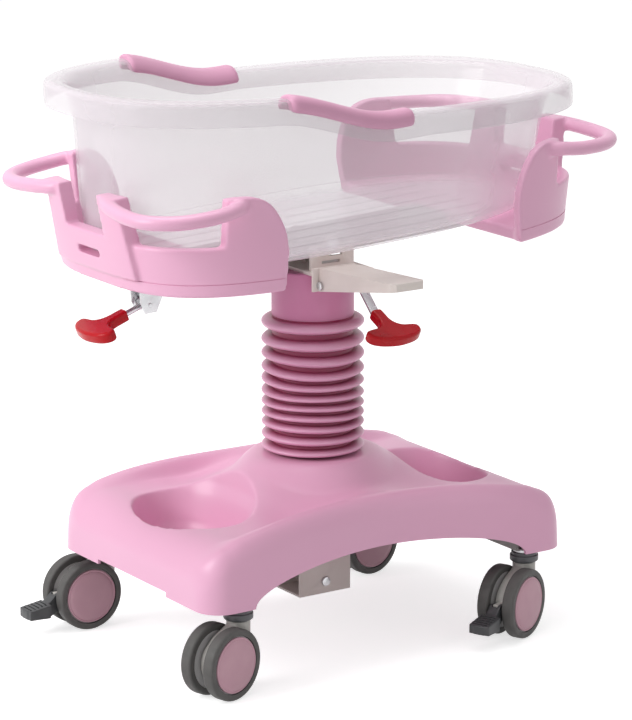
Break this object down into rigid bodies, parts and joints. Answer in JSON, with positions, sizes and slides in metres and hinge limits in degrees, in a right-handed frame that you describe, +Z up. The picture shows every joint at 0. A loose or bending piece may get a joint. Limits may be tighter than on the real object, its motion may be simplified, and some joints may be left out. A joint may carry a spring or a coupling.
{
  "type": "hospital bassinet",
  "caption": "Hospital bassinet: clear basin on a tilting cradle with end handles, height-adjustable column with bellows, moulded base and braked castors.",
  "frame": {"origin": "on the floor under the column axis", "axes": "+X towards the low end of the rim, +Y away from the hand paddle, +Z up"},
  "size_m": [0.7942, 0.4919, 0.8176],
  "materials": {
    "pink_moulding": "smooth moulded plastic, light pink",
    "bellows_pink": "satin flexible sleeve, deeper pink",
    "cap_pink": "satin dusty pink",
    "clear_plastic": "clear moulded basin",
    "red_plastic": "glossy red",
    "beige_steel": "satin off-white powder coat",
    "chassis_steel": "grey powder coat",
    "black_metal": "satin black",
    "bright_steel": "bright zinc",
    "grey_tyre": "grey soft tread",
    "castor_plastic": "light grey nylon",
    "hub_plastic": "light grey",
    "grey_plastic": "mid grey",
    "dark_plastic": "dark grey"
  },
  "bodies": {
    "base": {"base_cover": "pink_moulding", "base_spine": "chassis_steel", "cross_beam_left": "chassis_steel", "cross_beam_right": "chassis_steel", "foot_box": "beige_steel", "foot_box_bolt": "bright_steel", "castor_stems": "bright_steel", "outer_column_tube": "chassis_steel", "upper_guide_bush": "hub_plastic", "lift_gas_cylinder": "black_metal", "bellows": "bellows_pink"},
    "castor_left_front": {"left_front_swivel_ring": "dark_plastic", "left_front_castor_fork": "castor_plastic", "left_front_wheel_axle": "bright_steel"},
    "wheel_left_front": {"left_front_tyres": "grey_tyre", "left_front_wheel_hubs": "hub_plastic", "left_front_hub_caps": "cap_pink"},
    "castor_left_back": {"left_back_swivel_ring": "dark_plastic", "left_back_castor_fork": "castor_plastic", "left_back_wheel_axle": "bright_steel"},
    "wheel_left_back": {"left_back_tyres": "grey_tyre", "left_back_wheel_hubs": "hub_plastic", "left_back_hub_caps": "cap_pink"},
    "pedal_left_back": {"left_back_brake_pedal": "grey_plastic"},
    "castor_right_front": {"right_front_swivel_ring": "dark_plastic", "right_front_castor_fork": "castor_plastic", "right_front_wheel_axle": "bright_steel"},
    "wheel_right_front": {"right_front_tyres": "grey_tyre", "right_front_wheel_hubs": "hub_plastic", "right_front_hub_caps": "cap_pink"},
    "pedal_right_front": {"right_front_brake_pedal": "dark_plastic"},
    "castor_right_back": {"right_back_swivel_ring": "dark_plastic", "right_back_castor_fork": "castor_plastic", "right_back_wheel_axle": "bright_steel"},
    "wheel_right_back": {"right_back_tyres": "grey_tyre", "right_back_wheel_hubs": "hub_plastic", "right_back_hub_caps": "cap_pink"},
    "head": {"inner_column_tube": "bright_steel", "lower_guide_bush": "hub_plastic", "lift_gas_rod": "bright_steel", "column_collar": "pink_moulding", "head_bracket": "beige_steel", "trunnion_pins": "bright_steel", "paddle_pin": "bright_steel", "lift_lever_pin": "bright_steel"},
    "paddle": {"hand_paddle": "beige_steel"},
    "lift_lever": {"lift_lever_strap": "bright_steel", "lift_lever_grip": "red_plastic"},
    "cradle": {"cradle_spine": "beige_steel", "end_holder_left": "pink_moulding", "end_holder_right": "pink_moulding", "holder_screws": "bright_steel", "tilt_gas_cylinder": "black_metal", "tilt_lever_bracket": "bright_steel"},
    "tilt_rod": {"tilt_gas_rod": "bright_steel"},
    "tilt_lever": {"tilt_lever_rod": "bright_steel", "tilt_lever_grip": "red_plastic"},
    "basin_tub": {"basin": "clear_plastic", "rim_insert_front": "pink_moulding", "rim_insert_back": "pink_moulding"}
  },
  "joints": [
    {"name": "swivel_left_front", "type": "hinge", "parent": "base", "child": "castor_left_front", "pos_m": [-0.242, -0.182, 0.108], "axis": [0, 0, 1], "continuous": true},
    {"name": "roll_left_front", "type": "hinge", "parent": "castor_left_front", "child": "wheel_left_front", "pos_m": [-0.2766, -0.19192, 0.05], "axis": [-0.2756, 0.9613, 0], "continuous": true},
    {"name": "swivel_left_back", "type": "hinge", "parent": "base", "child": "castor_left_back", "pos_m": [-0.242, 0.182, 0.108], "axis": [0, 0, 1], "continuous": true},
    {"name": "roll_left_back", "type": "hinge", "parent": "castor_left_back", "child": "wheel_left_back", "pos_m": [-0.278, 0.182, 0.05], "axis": [0, 1, 0], "continuous": true},
    {"name": "pedal_press_left_back", "type": "hinge", "parent": "castor_left_back", "child": "pedal_left_back", "pos_m": [-0.318, 0.182, 0.05], "axis": [0, -1, 0], "range_deg": [0, 12]},
    {"name": "swivel_right_front", "type": "hinge", "parent": "base", "child": "castor_right_front", "pos_m": [0.242, -0.182, 0.108], "axis": [0, 0, 1], "continuous": true},
    {"name": "roll_right_front", "type": "hinge", "parent": "castor_right_front", "child": "wheel_right_front", "pos_m": [0.20911, -0.19664, 0.05], "axis": [-0.4067, 0.9135, 0], "continuous": true},
    {"name": "pedal_press_right_front", "type": "hinge", "parent": "castor_right_front", "child": "pedal_right_front", "pos_m": [0.17257, -0.21291, 0.05], "axis": [0.4067, -0.9135, 0], "range_deg": [0, 12]},
    {"name": "swivel_right_back", "type": "hinge", "parent": "base", "child": "castor_right_back", "pos_m": [0.242, 0.182, 0.108], "axis": [0, 0, 1], "continuous": true},
    {"name": "roll_right_back", "type": "hinge", "parent": "castor_right_back", "child": "wheel_right_back", "pos_m": [0.20635, 0.17699, 0.05], "axis": [-0.1392, 0.9903, 0], "continuous": true},
    {"name": "column_height", "type": "slide", "parent": "base", "child": "head", "axis": [0, 0, 1], "range_m": [0, 0.18], "deforming": ["bellows"]},
    {"name": "paddle_press", "type": "hinge", "parent": "head", "child": "paddle", "pos_m": [0, -0.07, 0.516], "axis": [1, 0, 0], "range_deg": [0, 8], "stiffness_Nm_per_rad": 3, "springref_deg": -14.32},
    {"name": "lift_lever_pull", "type": "hinge", "parent": "head", "child": "lift_lever", "pos_m": [0.04, -0.066, 0.519], "axis": [-1, 0, 0], "range_deg": [0, 12], "stiffness_Nm_per_rad": 1, "springref_deg": -5.73},
    {"name": "cradle_tilt", "type": "hinge", "parent": "head", "child": "cradle", "pos_m": [0, 0, 0.568], "axis": [0, 1, 0], "range_deg": [-9, 15]},
    {"name": "tilt_rod_slide", "type": "slide", "parent": "cradle", "child": "tilt_rod", "axis": [0.9986, 0, 0.0523], "range_m": [-0.0035, 0.0057]},
    {"name": "tilt_lever_pull", "type": "hinge", "parent": "cradle", "child": "tilt_lever", "pos_m": [-0.27526, 0, 0.50851], "axis": [0, 1, 0], "range_deg": [0, 12], "stiffness_Nm_per_rad": 1, "springref_deg": -8.59},
    {"name": "basin_lift", "type": "slide", "parent": "cradle", "child": "basin_tub", "axis": [-0.0523, 0, 0.9986], "range_m": [0, 0.15]}
  ],
  "couplings": [
    {"joint": "tilt_rod_slide", "follows": "cradle_tilt", "m_per_rad": 0.021}
  ]
}
